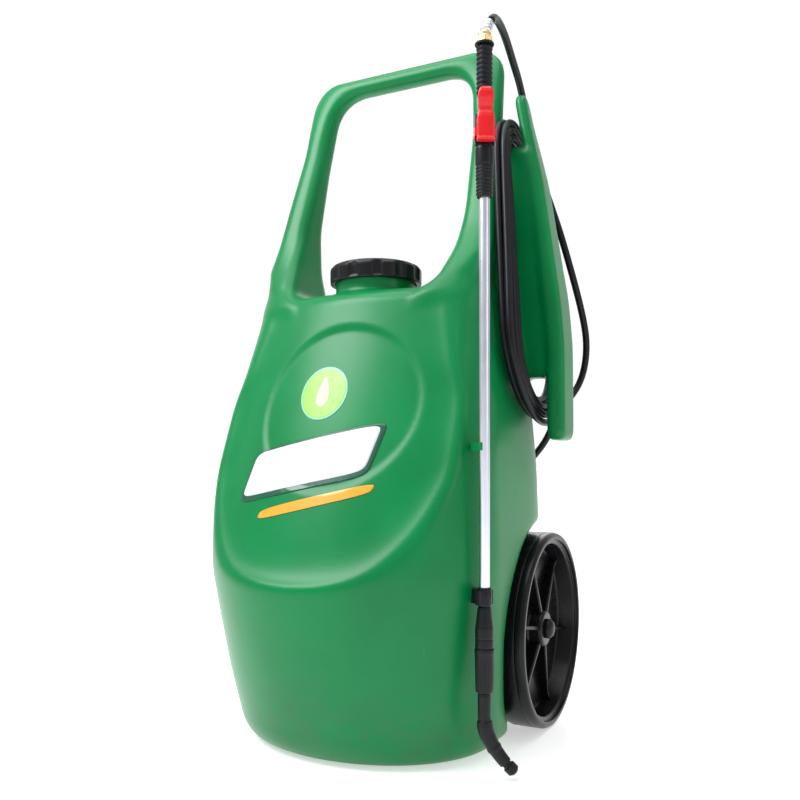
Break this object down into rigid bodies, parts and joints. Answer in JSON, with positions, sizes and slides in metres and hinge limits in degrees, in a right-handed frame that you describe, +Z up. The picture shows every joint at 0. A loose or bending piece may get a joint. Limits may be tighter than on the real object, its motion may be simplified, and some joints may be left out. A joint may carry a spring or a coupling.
{
  "type": "wheeled sprayer",
  "caption": "Wheeled garden sprayer: moulded green tank with an arched handle, hose saddle, coiled hose, trigger lance and two plain wheels.",
  "frame": {"origin": "middle of the tank's flat base, on the ground", "axes": "+Z up, +Y to the rear (wheels), -Y to the front panel, +X to the side that carries the hose and lance"},
  "size_m": [0.5119, 0.5438, 1.052],
  "materials": {
    "tank": "semi-matt rotomoulded polyethylene",
    "lid": "satin",
    "rubber": "matt",
    "steel": "satin zinc plate",
    "wheel": "glossy moulded",
    "grey_plastic": "satin",
    "black_plastic": "satin moulded",
    "battery_case": "fine grain",
    "red_plastic": "gloss",
    "brass": "turned",
    "aluminium": "satin anodised",
    "grip": "ribbed, satin",
    "hose": "smooth, slightly glossy"
  },
  "bodies": {
    "root": {"tank_body": "tank", "handle_arch": "tank", "hose_saddle": "tank", "axle": "steel", "axle_spacer_left": "grey_plastic", "axle_cap_left": "black_plastic", "axle_spacer_right": "grey_plastic", "axle_cap_right": "black_plastic", "equipment_tray": "black_plastic", "battery": "battery_case", "pump_motor": "steel", "pump_head": "black_plastic", "pump_cradle": "rubber", "rear_cover": "black_plastic", "cover_screw_1": "steel", "cover_screw_2": "steel", "cover_screw_3": "steel", "cover_screw_4": "steel", "switch_bezel": "black_plastic", "charge_socket": "grey_plastic", "outlet_barb": "brass", "delivery_pipe": "rubber", "pump_elbow": "brass", "suction_nozzle": "brass", "lance_clip_upper": "tank", "lance_clip_lower": "black_plastic", "hose_lead": "hose", "hose_tail": "hose", "hose_coil": "hose"},
    "lance": {"lance_tube": "aluminium", "lance_collar": "black_plastic", "valve_body": "black_plastic", "trigger_pin": "steel", "gun_grip": "grip", "grip_flange": "black_plastic", "swivel_nut": "brass", "hose_ferrule": "steel", "nozzle_collet": "black_plastic", "nozzle_body": "black_plastic", "nozzle_elbow": "black_plastic"},
    "trigger": {"trigger_lever": "red_plastic"},
    "nozzle_sleeve": {"nozzle_sleeve": "black_plastic"},
    "nozzle_tip": {"nozzle_tip": "black_plastic"},
    "wheel_left": {"wheel_left": "wheel"},
    "wheel_right": {"wheel_right": "wheel"},
    "lid_carrier": {"lid_gasket": "rubber"},
    "lid": {"filler_lid": "lid"},
    "rocker": {"rocker_switch": "red_plastic"},
    "socket_cap": {"socket_cap": "rubber"},
    "drain_plug": {"drain_plug": "black_plastic"}
  },
  "joints": [
    {"name": "wheel_left_spin", "type": "hinge", "parent": "root", "child": "wheel_left", "pos_m": [-0.2095, 0.145, 0.15], "axis": [1, 0, 0], "continuous": true},
    {"name": "wheel_right_spin", "type": "hinge", "parent": "root", "child": "wheel_right", "pos_m": [0.2095, 0.145, 0.15], "axis": [1, 0, 0], "continuous": true},
    {"name": "lid_lift", "type": "slide", "parent": "root", "child": "lid_carrier", "axis": [0, 0, 1], "range_m": [0, 0.12]},
    {"name": "lid_turn", "type": "hinge", "parent": "lid_carrier", "child": "lid", "pos_m": [0, 0, 0.69], "axis": [0, 0, 1], "continuous": true},
    {"name": "lance_unclip", "type": "slide", "parent": "root", "child": "lance", "axis": [0.9063, -0.4226, 0], "range_m": [0, 0.06]},
    {"name": "trigger_squeeze", "type": "hinge", "parent": "lance", "child": "trigger", "pos_m": [0.22582, -0.12356, 0.827], "axis": [-0.891, -0.454, 0], "range_deg": [0, 5], "stiffness_Nm_per_rad": 2, "springref_deg": -5.73},
    {"name": "nozzle_adjust", "type": "hinge", "parent": "lance", "child": "nozzle_sleeve", "pos_m": [0.224, -0.12, 0.143], "axis": [0, 0, 1], "range_deg": [0, 270]},
    {"name": "nozzle_tip_turn", "type": "hinge", "parent": "lance", "child": "nozzle_tip", "pos_m": [0.2485, -0.10752, 0.0234], "axis": [0.63, 0.321, -0.7071], "range_deg": [0, 360]},
    {"name": "rocker_press", "type": "hinge", "parent": "root", "child": "rocker", "pos_m": [-0.08, 0.23, 0.227], "axis": [1, 0, 0], "range_deg": [0, 5]},
    {"name": "socket_cap_pull", "type": "slide", "parent": "root", "child": "socket_cap", "axis": [0, 1, 0], "range_m": [0, 0.02]},
    {"name": "drain_plug_out", "type": "slide", "parent": "root", "child": "drain_plug", "axis": [0, 1, 0], "range_m": [0, 0.04]}
  ]
}
